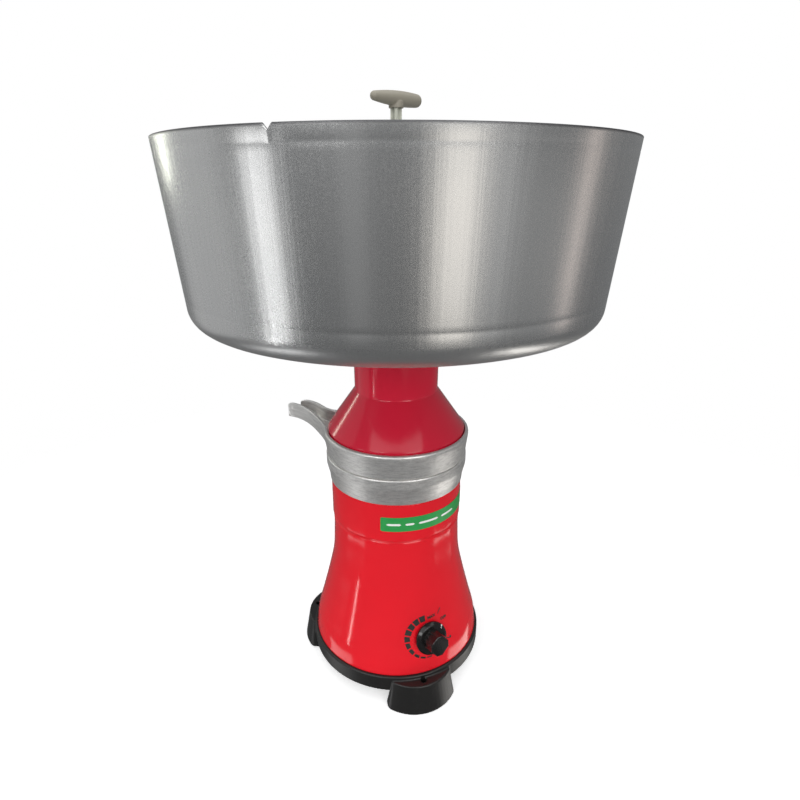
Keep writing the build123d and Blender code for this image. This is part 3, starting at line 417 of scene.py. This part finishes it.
def rounded_outline(corners, closed=True, step=4.0):
    """Outline through (radius, height, fillet) corners, with arcs at fillets and short straight steps."""
    count = len(corners)
    result = []
    for index, corner in enumerate(corners):
        point = Vector(corner[:2])
        fillet = corner[2] if len(corner) > 2 else 0.0
        open_end = not closed and index in (0, count - 1)
        if fillet == 0.0 or open_end:
            result.append(point)
            continue
        before = (Vector(corners[index - 1][:2]) - point).normalized()
        after = (Vector(corners[(index + 1) % count][:2]) - point).normalized()
        half = before.angle(after) / 2
        reach = fillet / tan(half)
        centre = point + (before + after).normalized() * (fillet / sin(half))
        start, end = point + before * reach - centre, point + after * reach - centre
        sweep = start.angle_signed(end)
        steps = max(3, ceil(abs(degrees(sweep)) / ARC_STEP))
        for piece in range(steps + 1):
            turn = Matrix.Rotation(-sweep * piece / steps, 2)
            result.append(centre + turn @ start)
    dense = []
    last = len(result) if closed else len(result) - 1
    for index in range(last):
        start, end = result[index], result[(index + 1) % len(result)]
        pieces = max(1, ceil((end - start).length / step))
        dense += [start.lerp(end, piece / pieces) for piece in range(pieces)]
    if not closed:
        dense.append(result[-1])
    return dense


def lathe(name, outline, azimuths=None, lift=None):
    """Closed solid of revolution; lift(azimuth, height) may move a point's height."""
    turns = azimuths or [360.0 * index / LATHE_SEGMENTS for index in range(LATHE_SEGMENTS)]
    points, faces = [], []
    for azimuth in turns:
        for radius, height in outline:
            dz = lift(azimuth, height) if lift else 0.0
            points.append(polar(radius, azimuth, height + dz))
    rows, columns = len(turns), len(outline)
    for row in range(rows):
        following = (row + 1) % rows
        for column in range(columns):
            beside = (column + 1) % columns
            faces.append((row * columns + column, following * columns + column,
                          following * columns + beside, row * columns + beside))
    return mesh_object(name, points, faces)


def apply_modifiers(obj):
    """Replace a piece's mesh by its evaluated mesh."""
    graph = bpy.context.evaluated_depsgraph_get()
    mesh = bpy.data.meshes.new_from_object(obj.evaluated_get(graph))
    obj.modifiers.clear()
    obj.data = mesh


def cad_copy(name, node, voxel=0.0, smoothing=0, bevel=0.0):
    """Copy of a CAD node's mesh with its edges rounded, by remeshing and softening or by a bevel."""
    obj = bpy.data.objects.new(name, NODES[node].data.copy())
    bpy.context.scene.collection.objects.link(obj)
    weld = obj.modifiers.new("weld", "WELD")
    weld.merge_threshold = CAD_WELD_DISTANCE
    if voxel:
        remesh = obj.modifiers.new("remesh", "REMESH")
        remesh.mode = "VOXEL"
        remesh.voxel_size = voxel * MM
        soften = obj.modifiers.new("soften", "SMOOTH")
        soften.factor = 0.5
        soften.iterations = smoothing
    if bevel:
        rounding = obj.modifiers.new("rounding", "BEVEL")
        rounding.width = bevel * MM
        rounding.segments = 2
        rounding.limit_method = "ANGLE"
        rounding.angle_limit = radians(25)
        rounding.harden_normals = True
    apply_modifiers(obj)
    obj.data.polygons.foreach_set("use_smooth", [True] * len(obj.data.polygons))
    if not voxel:
        obj.data.set_sharp_from_angle(angle=radians(30))
    return obj


# ---------------------------------------------------------------- milk bowl
def bowl_turns():
    """Azimuths round the bowl, closer together at the nick."""
    offsets = [*range(1, 360), *(fifth / 5 for fifth in range(-4, 5))]
    return sorted((NICK_AZIMUTH + offset) % 360 for offset in offsets)


def nick_lift(azimuth, height):
    """Lower the rim in a small V."""
    across = abs((azimuth - NICK_AZIMUTH + 180) % 360 - 180)
    half_width = degrees(NICK_WIDTH / 2 / BOWL_RIM_R)
    near_rim = max(0.0, 1 - (BOWL_RIM_Z - height) / NICK_FADE)
    return -NICK_DEPTH * max(0.0, 1 - across / half_width) * near_rim


def make_bowl():
    """Spun bowl with two faint marks rolled into its wall, above the corner and under the rim."""
    corner, rim = Vector((BOWL_CORNER_R, BOWL_BOTTOM_Z)), Vector((BOWL_RIM_R, BOWL_RIM_Z))
    corners = [(BOWL_HOLE_R, BOWL_BOTTOM_Z), (BOWL_CORNER_R, BOWL_BOTTOM_Z, BOWL_FILLET)]
    for middle in MARK_SHARES:
        for offset, depth in ((-MARK_HALF, 0.0), (0.0, MARK_DEPTH), (MARK_HALF, 0.0)):
            point = corner.lerp(rim, middle + offset)
            corners.append((point.x - depth, point.y))
    corners += [(BOWL_RIM_R, BOWL_RIM_Z, 0.8), (BOWL_RIM_R - BOWL_WALL, BOWL_RIM_Z, 0.8),
                (BOWL_CORNER_R - BOWL_WALL - 0.2, BOWL_BOTTOM_Z + BOWL_WALL, BOWL_FILLET - BOWL_WALL),
                (BOWL_HOLE_R, BOWL_BOTTOM_Z + BOWL_WALL)]
    bowl = lathe("bowl_shell", rounded_outline(corners), bowl_turns(), lift=nick_lift)
    place_piece(bowl, "bowl", M["bowl"], "bowl_aluminium", "milk_bowl")


# ---------------------------------------------------------------- float chamber
def make_chamber():
    """Neck and cone in one glossy shell, with the floor and feed tube inside."""
    cone_bore, low_bore = CONE_R - CHAMBER_WALL, NECK_R - CHAMBER_WALL - CHAMBER_TAPER
    neck_bore, top_bore = NECK_R - CHAMBER_WALL, NECK_TOP_R - CHAMBER_WALL - CHAMBER_TAPER
    tube_bore, floor_top = FEED_TUBE_R - FEED_TUBE_WALL, CHAMBER_FLOOR_Z + CHAMBER_FLOOR_THICK
    corners = [(NECK_TOP_R, NECK_TOP_Z, 0.7), (NECK_R, NECK_Z, 2.5), (CONE_R, CONE_Z, 1.6),
               (CONE_R, CHAMBER_SEAT_Z, 0.3),
               (cone_bore, CHAMBER_SEAT_Z, 0.3), (cone_bore, CONE_Z - 1.2, 1.0),
               (low_bore, NECK_Z - 2, 1.0), (low_bore, CHAMBER_FLOOR_Z, 1.0),
               (FEED_TUBE_R, CHAMBER_FLOOR_Z, 2.0), (FEED_TUBE_R, FEED_TUBE_Z, 0.4),
               (tube_bore, FEED_TUBE_Z, 0.4), (tube_bore, floor_top, 1.2),
               (neck_bore, floor_top, 2.0), (top_bore, NECK_TOP_Z, 0.4)]
    chamber = lathe("chamber_shell", rounded_outline(corners))
    place_piece(chamber, "chamber", M["crimson"], "chamber_paint", "float_chamber")


# ---------------------------------------------------------------- motor housing
def flare_points(inset):
    """Housing's curved side, top to bottom, as a smooth curve through its driving points."""
    knots = [Vector((radius - inset, height)) for radius, height in HOUSING_FLARE]
    points = []
    for index in range(len(knots) - 1):
        before = knots[max(index - 1, 0)]
        start, end = knots[index], knots[index + 1]
        after = knots[min(index + 2, len(knots) - 1)]
        for piece in range(FLARE_STEPS):
            t = piece / FLARE_STEPS
            slope_in, slope_out = (end - before) / 2, (after - start) / 2
            points.append(start * (2 * t**3 - 3 * t**2 + 1) + slope_in * (t**3 - 2 * t**2 + t)
                          + end * (3 * t**2 - 2 * t**3) + slope_out * (t**3 - t**2))
    return points + [knots[-1]]


def housing_radius(height):
    """Outer radius of the housing's side at a height."""
    points = flare_points(0.0)
    for above, below in zip(points, points[1:]):
        if above.y >= height >= below.y:
            share = (above.y - height) / (above.y - below.y)
            return above.x + (below.x - above.x) * share
    return points[-1].x


def make_housing():
    """Flared enamelled shell with the collar, the drum's cup and the web over the motor."""
    shoulder_r, shoulder_z = HOUSING_FLARE[0]
    foot_r, foot_z = HOUSING_FLARE[-1]
    groove_r, flare_z = shoulder_r - GROOVE_DEPTH, shoulder_z - SHOULDER_DROP
    collar = [(CUP_R, HOUSING_TOP_Z, 0.8), (COLLAR_R, HOUSING_TOP_Z, 0.8), (COLLAR_R, COLLAR_Z, 0.6),
              (groove_r, COLLAR_Z - 0.2, 0.3), (groove_r, shoulder_z + 1.2, 0.4),
              (shoulder_r + 0.6, shoulder_z - 1.2, 2.6), (shoulder_r + 0.3, flare_z)]
    side = [point for point in flare_points(0.0)[:-1] if point.y < flare_z]
    side.append(Vector((foot_r, foot_z + 0.8)))
    foot = [Vector((foot_r - 0.25, foot_z + 0.2)), Vector((foot_r - 0.8, foot_z)),
            Vector((foot_r - HOUSING_WALL, foot_z))]
    inner = flare_points(HOUSING_WALL)[:FLARE_STEPS - 1:-1]
    boss_z = CUP_FLOOR_Z + BEARING_BOSS_HEIGHT
    web = [(inner[-1].x, WEB_Z), (BEARING_BORE_R, WEB_Z), (BEARING_BORE_R, boss_z, 0.6),
           (BEARING_BOSS_R, boss_z, 0.8), (BEARING_BOSS_R, CUP_FLOOR_Z, 1.5), (CUP_R, CUP_FLOOR_Z, 3.0),
           (CUP_R, HOUSING_TOP_Z)]
    collar, web = [rounded_outline(corners, closed=False)[1:-1] for corners in (collar, web)]
    outline = collar + side + foot + inner + web
    housing = lathe("housing_shell", outline)
    place_piece(housing, "base", M["red"], "housing_paint", "motor_housing")


# ---------------------------------------------------------------- castings and base
def make_castings():
    """Receivers and base with the softened edges of castings and mouldings."""
    skim = cad_copy("skim_ring", "skim_receiver", voxel=0.65, smoothing=4)
    place_piece(skim, "skim_collector", M["cast"], "cast_aluminium", "skim_receiver")
    cream = cad_copy("cream_ring", "cream_receiver", voxel=0.6, smoothing=4)
    place_piece(cream, "cream_collector", M["cast"], "cast_aluminium", "cream_receiver")
    base = cad_copy("base_moulding", "base_plate", voxel=0.7, smoothing=3)
    place_piece(base, "base", M["black"], "black_plastic", "base_plate")


# ---------------------------------------------------------------- label
def wrapped_patch(name, radius, azimuths, heights, thick, corner):
    """Closed thin patch with rounded corners, wrapped round the axis."""
    start, end = azimuths
    low, high = heights
    columns = max(2, ceil((end - start) / PATCH_STEP))
    points, faces = [], []
    for layer in (radius, radius + thick):
        for column in range(columns + 1):
            share = column / columns
            edge = min(share, 1 - share) * radians(end - start) * radius
            trim = corner - (corner**2 - max(0.0, corner - edge)**2) ** 0.5
            azimuth = start + (end - start) * share
            points += [polar(layer, azimuth, low + trim), polar(layer, azimuth, high - trim)]
    layer_size = 2 * (columns + 1)
    for column in range(columns):
        a = 2 * column
        faces += [(a, a + 2, a + 3, a + 1),
                  (layer_size + a, layer_size + a + 1, layer_size + a + 3, layer_size + a + 2),
                  (a, layer_size + a, layer_size + a + 2, a + 2),
                  (a + 1, a + 3, layer_size + a + 3, layer_size + a + 1)]
    last = 2 * columns
    faces += [(0, 1, layer_size + 1, layer_size),
              (last, layer_size + last, layer_size + last + 1, last + 1)]
    return mesh_object(name, points, faces, 30.0)


def make_label():
    """Green strip with a plain row of white dashes."""
    strip = wrapped_patch("label_film", COLLAR_R + 0.03, LABEL_AZIMUTHS, LABEL_Z, LABEL_THICK, 0.8)
    place_piece(strip, "base", M["green"], "label_print", "label_strip")
    middle = sum(LABEL_Z) / 2
    start = LABEL_AZIMUTHS[0] + LABEL_MARGIN
    for index, length in enumerate(DASH_LENGTHS):
        span = degrees(length / COLLAR_R)
        dash = wrapped_patch(f"label_dash_{index}", COLLAR_R + LABEL_THICK, (start, start + span),
                             (middle - DASH_HALF_HEIGHT, middle + DASH_HALF_HEIGHT), DASH_THICK, 0.9)
        place_piece(dash, "base", M["white_ink"], "label_print")
        start += span + DASH_GAP


# ---------------------------------------------------------------- speed dial
def dial_point(sideways, upwards, proud):
    """Point over the housing's side, from distances along its surface from the knob's centre."""
    height = KNOB_Z + upwards * cos(radians(KNOB_TILT))
    radius = housing_radius(height)
    azimuth = KNOB_AZIMUTH + degrees(sideways / radius)
    return polar(radius + proud, azimuth, height)


def dial_polar(radius, angle):
    """Dial distances of a point given by radius and angle about the scale's centre."""
    return DIAL_CENTRE + Vector((radius * cos(radians(angle)), radius * sin(radians(angle))))


def dial_patch(name, inner, outer, angle, half, steps=5):
    """Closed thin printed patch between two radii, to both sides of an angle on the scale."""
    a, b = dial_polar(inner, angle - half), dial_polar(outer, angle - half)
    c, d = dial_polar(outer, angle + half), dial_polar(inner, angle + half)
    points, faces = [], []
    for proud in (PRINT_ROOT, PRINT_PROUD):
        for row in range(steps + 1):
            for column in range(steps + 1):
                u, v = column / steps, row / steps
                spot = a.lerp(b, u).lerp(d.lerp(c, u), v)
                points.append(dial_point(spot.x, spot.y, proud))
    wide = steps + 1
    layer = wide * wide
    for row in range(steps):
        for column in range(steps):
            k = row * wide + column
            faces += [(k, k + wide, k + wide + 1, k + 1),
                      (layer + k, layer + k + 1, layer + k + wide + 1, layer + k + wide)]
    rim = [*range(wide), *(row * wide + steps for row in range(1, wide)),
           *(layer - 1 - k for k in range(1, wide)), *(row * wide for row in range(steps - 1, 0, -1))]
    for k, here in enumerate(rim):
        there = rim[(k + 1) % len(rim)]
        faces.append((here, there, layer + there, layer + here))
    obj = mesh_object(name, points, faces, 30.0)
    place_piece(obj, "base", M["black_ink"], "housing_paint")


def make_dial_word(word, radius, angle, tilt):
    """A short dial word in printed ink, wrapped on to the housing."""
    curve = bpy.data.curves.new(f"dial_word_{word}", "FONT")
    curve.body = word
    curve.size = DIAL_WORD_SIZE
    curve.offset = 0.2
    curve.align_x = "CENTER"
    curve.resolution_u = 3
    curve.extrude = 0.5
    source = bpy.data.objects.new(f"dial_word_{word}", curve)
    bpy.context.scene.collection.objects.link(source)
    bpy.context.view_layer.update()
    mesh = bpy.data.meshes.new_from_object(source)
    bpy.data.objects.remove(source)
    centre = dial_polar(radius, angle)
    turn = Matrix.Rotation(radians(tilt), 2)
    for vertex in mesh.vertices:
        flat = turn @ Vector((vertex.co.x, vertex.co.y)) + centre
        vertex.co = dial_point(flat.x, flat.y, PRINT_PROUD if vertex.co.z > 0 else PRINT_ROOT) * MM
    obj = bpy.data.objects.new(f"dial_word_{word}", mesh)
    bpy.context.scene.collection.objects.link(obj)
    place_piece(obj, "base", M["black_ink"], "housing_paint")


def make_dial():
    """Blocks that shrink round the knob, a dot with a dash, a slash and the words at the two ends."""
    for index in range(DIAL_BLOCKS):
        share = index / (DIAL_BLOCKS - 1)
        angle = DIAL_START + DIAL_SWEEP * share
        outer = DIAL_R - 3.6 * max(0.0, share - 0.5)
        width = BLOCK_WIDTH - 1.2 * share
        depth = BLOCK_DEPTH - 5.0 * max(0.0, (share - 0.35) / 0.65)
        dial_patch(f"dial_block_{index}", outer - depth, outer, angle, degrees(width / 2 / outer))
    marks = (("dial_dot", 27.6, -21, 2.2, 2.2), ("dial_dash", 24.0, -23, 0.9, 5.0),
             ("dial_slash", 26.4, 55, 0.8, 6.0))
    for name, radius, angle, width, depth in marks:
        dial_patch(name, radius - depth / 2, radius + depth / 2, angle, degrees(width / 2 / radius))
    for word, radius, angle, tilt in (("MAX", 18.8, 70, 6), ("OFF", 22.6, 30, 0)):
        make_dial_word(word, radius, angle, tilt)


def knob_matrix():
    """Frame of the knob: X sideways, Y up the surface, Z out along its shaft, in millimetres."""
    origin = polar(KNOB_SURFACE_R, KNOB_AZIMUTH, KNOB_Z)
    out = polar(cos(radians(KNOB_TILT)), KNOB_AZIMUTH, sin(radians(KNOB_TILT)))
    side = polar(1.0, KNOB_AZIMUTH + 90)
    up = out.cross(side)
    return Matrix(((side.x, up.x, out.x, origin.x), (side.y, up.y, out.y, origin.y),
                   (side.z, up.z, out.z, origin.z), (0, 0, 0, 1)))


def make_knob():
    """Knob softened from the CAD shape, with its white pointer line."""
    knob = cad_copy("knob_moulding", "control_knob", bevel=0.35)
    place_piece(knob, "speed_knob", M["knob"], "knob_plastic", "control_knob")
    to_knob = knob_matrix() @ Matrix.Rotation(radians(POINTER_ANGLE), 4, "Z")
    ends = ((KNOB_SKIRT_R - 0.3, KNOB_LIFT + 2.0), (KNOB_SKIRT_R - 3.0, KNOB_LIFT + 4.3))
    points = []
    for proud in (PRINT_ROOT, POINTER_PROUD):
        shift = proud * 0.7  # along each axis, since the skirt's face slopes
        for reach, height in ends:
            for side in (-POINTER_HALF_WIDTH, POINTER_HALF_WIDTH):
                points.append(to_knob @ Vector((reach + shift, side, height + shift)))
    faces = [(0, 1, 3, 2), (4, 6, 7, 5), (0, 4, 5, 1), (2, 3, 7, 6), (0, 2, 6, 4), (1, 5, 7, 3)]
    line = mesh_object("knob_pointer", points, faces, 30.0)
    place_piece(line, "speed_knob", M["white_ink"], "knob_plastic")


# ---------------------------------------------------------------- tap
def make_tap():
    """Cross handle and ribbed stem, softened from the CAD shape."""
    handle = cad_copy("tap_bar", "tap_handle", voxel=0.4, smoothing=3)
    place_piece(handle, "tap", M["handle"], "handle_plastic", "tap_handle")
    stem = cad_copy("tap_stem", "tap_plug", voxel=0.4, smoothing=2)
    place_piece(stem, "tap", M["stem"], "plug_plastic", "tap_plug")


# ---------------------------------------------------------------- CAD nodes that stay
STAYING = {
    "rubber": ["rubber_feet", "cable_gland", "rubber_mounts", "drum_seal", "seat_gasket", "float_pad"],
    "zinc": ["base_screws", "motor_bolts", "mount_screws", "control_nut", "control_shaft", "potentiometer"],
    "board": ["speed_board"],
    "bracket": ["upper_bracket", "lower_bracket"],
    "laminations": ["stator_core", "armature_core"],
    "copper": ["field_windings", "armature_winding", "commutator"],
    "brass": ["brush_holders", "drum_nut", "cream_screws"],
    "carbon": ["carbon_brushes"],
    "steel": ["upper_bearing", "lower_bearing", "motor_shaft"],
    "fan": ["cooling_fan"],
    "drum": ["drum_base", "drum_cover", "separating_disc", "locating_ring"],
    "disc": ["disc_stack"],
    "white_plastic": ["disc_holder", "float_valve"],
    "stem": ["tap_seat"],
}


def dress_cad_nodes():
    """Give every CAD node that stays visible its own node material."""
    for key, names in STAYING.items():
        for name in names:
            data = NODES[name].data
            data.materials.clear()
            data.materials.append(M[key])


# ---------------------------------------------------------------- stage, light and camera
def make_floor():
    """Pale floor disc that fades out into the background."""
    bpy.ops.mesh.primitive_circle_add(vertices=96, radius=3.0, fill_type="NGON")
    floor = bpy.context.object
    floor.name = "floor"
    material, tree, shader = new_material("pale_floor")
    shader.inputs["Base Color"].default_value = (0.88, 0.88, 0.88, 1.0)
    shader.inputs["Roughness"].default_value = 0.9
    shader.inputs["Emission Color"].default_value = (1.0, 1.0, 1.0, 1.0)
    shader.inputs["Emission Strength"].default_value = 0.5
    length = add_node(tree, "ShaderNodeVectorMath", {0: position(tree)}, operation="LENGTH")
    inputs = {"Value": length.outputs["Value"], "From Min": 0.25, "From Max": 0.8}
    fade = add_node(tree, "ShaderNodeMapRange", inputs, interpolation_type="SMOOTHSTEP").outputs["Result"]
    clear = tree.nodes.new("ShaderNodeBsdfTransparent")
    mixer = tree.nodes.new("ShaderNodeMixShader")
    tree.links.new(fade, mixer.inputs[0])
    tree.links.new(shader.outputs[0], mixer.inputs[1])
    tree.links.new(clear.outputs[0], mixer.inputs[2])
    output = next(node for node in tree.nodes if node.type == "OUTPUT_MATERIAL")
    tree.links.new(mixer.outputs[0], output.inputs["Surface"])
    floor.data.materials.append(material)
    floor.visible_glossy = False
    floor.visible_shadow = False


def make_world():
    """White behind the object, and a quiet grey room for light and reflections."""
    world = bpy.data.worlds.new("studio")
    bpy.context.scene.world = world
    world.use_nodes = True
    tree = world.node_tree
    tree.nodes.clear()
    rays = tree.nodes.new("ShaderNodeLightPath")
    seen = add_node(tree, "ShaderNodeBackground", {"Color": (1.0, 1.0, 1.0, 1.0), "Strength": 1.0})
    direction = add_node(tree, "ShaderNodeTexCoord").outputs["Generated"]
    upward = add_node(tree, "ShaderNodeSeparateXYZ", {0: direction}).outputs["Z"]
    shade = spread_value(tree, upward, 0.14, 0.26, -0.15, 0.35)
    room = add_node(tree, "ShaderNodeBackground", {"Color": (0.96, 0.98, 1.0, 1.0), "Strength": shade})
    mixer = tree.nodes.new("ShaderNodeMixShader")
    output = tree.nodes.new("ShaderNodeOutputWorld")
    tree.links.new(rays.outputs["Is Camera Ray"], mixer.inputs[0])
    tree.links.new(room.outputs[0], mixer.inputs[1])
    tree.links.new(seen.outputs[0], mixer.inputs[2])
    tree.links.new(mixer.outputs[0], output.inputs["Surface"])


WHITE, CREAM, WARM = (1.0, 1.0, 1.0), (1.0, 0.97, 0.92), (1.0, 0.95, 0.88)
AMBER, LEAF = (1.0, 0.84, 0.76), (0.97, 1.0, 0.85)


def make_light(name, azimuth, distance, height, size, radiance, colour=WHITE, aim_z=None):
    """Soft rectangular light aimed at the machine's axis, level unless aim_z says where.

    Azimuth is in degrees, places and sizes are in metres; radiance is how bright it looks when mirrored.
    """
    data = bpy.data.lights.new(name, "AREA")
    data.shape = "RECTANGLE"
    data.size, data.size_y = size
    data.energy = radiance * pi * size[0] * size[1]
    data.color = colour
    light = bpy.data.objects.new(name, data)
    place = polar(distance, azimuth, height)
    target = Vector((0, 0, height if aim_z is None else aim_z))
    light.location = place
    light.rotation_euler = (place - target).to_track_quat("Z", "Y").to_euler()
    light.visible_camera = False
    bpy.context.scene.collection.objects.link(light)


def make_lights():
    """Windows and walls that mirror in the bowl, low panels for the rings, and high lights that only fill."""
    make_light("window_left", -145.8, 0.90, 0.25, (0.165, 0.44), 1.75)
    make_light("window_right", -65.9, 0.92, 0.25, (0.28, 0.44), 1.1, WARM)
    make_light("window_far_right", -6.0, 0.86, 0.34, (0.11, 0.44), 0.72, AMBER)
    make_light("window_dim", -106.5, 0.92, 0.25, (0.16, 0.44), 0.14)
    make_light("window_dim_right", -49.5, 0.92, 0.25, (0.24, 0.44), 0.2)
    make_light("panel_left", -168.0, 1.0, -0.76, (0.7, 0.42), 1.5)
    make_light("panel_right", 4.0, 1.0, -0.76, (0.8, 0.42), 2.3, CREAM)
    make_light("strip_left_low", -153.0, 1.45, -0.33, (0.05, 0.22), 12.0)
    make_light("wall_left", 168.0, 1.7, 0.4, (1.6, 1.9), 0.30)
    make_light("wall_right", -20.0, 1.7, 0.0, (1.7, 0.6), 0.10)
    make_light("strip_back_left", 150.0, 1.5, 0.66, (0.10, 0.5), 7.0, LEAF)
    make_light("fill_left", -120.0, 1.6, 1.0, (0.8, 0.4), 5.8, aim_z=0.2)
    make_light("fill_right", -62.0, 1.6, 1.0, (0.8, 0.4), 6.2, aim_z=0.2)
    make_light("above", -90.0, 0.3, 2.0, (3.2, 3.2), 1.15, aim_z=0.0)


def make_camera():
    """Camera in front of the machine, a little above the bowl's middle and looking down."""
    data = bpy.data.cameras.new("camera")
    camera = bpy.data.objects.new("camera", data)
    camera.location = (0.0, -0.487, 0.468)
    camera.rotation_euler = (radians(68.84), 0.0, 0.0)
    data.sensor_width = 36.0
    data.lens = 25.515
    data.shift_x = 0.0048
    data.clip_start = 0.01
    bpy.context.scene.collection.objects.link(camera)
    bpy.context.scene.camera = camera


make_camera()
make_world()
make_lights()
make_floor()
make_bowl()
make_chamber()
make_housing()
make_castings()
make_label()
make_dial()
make_knob()
make_tap()
dress_cad_nodes()
bpy.context.scene.view_settings.view_transform = "Standard"
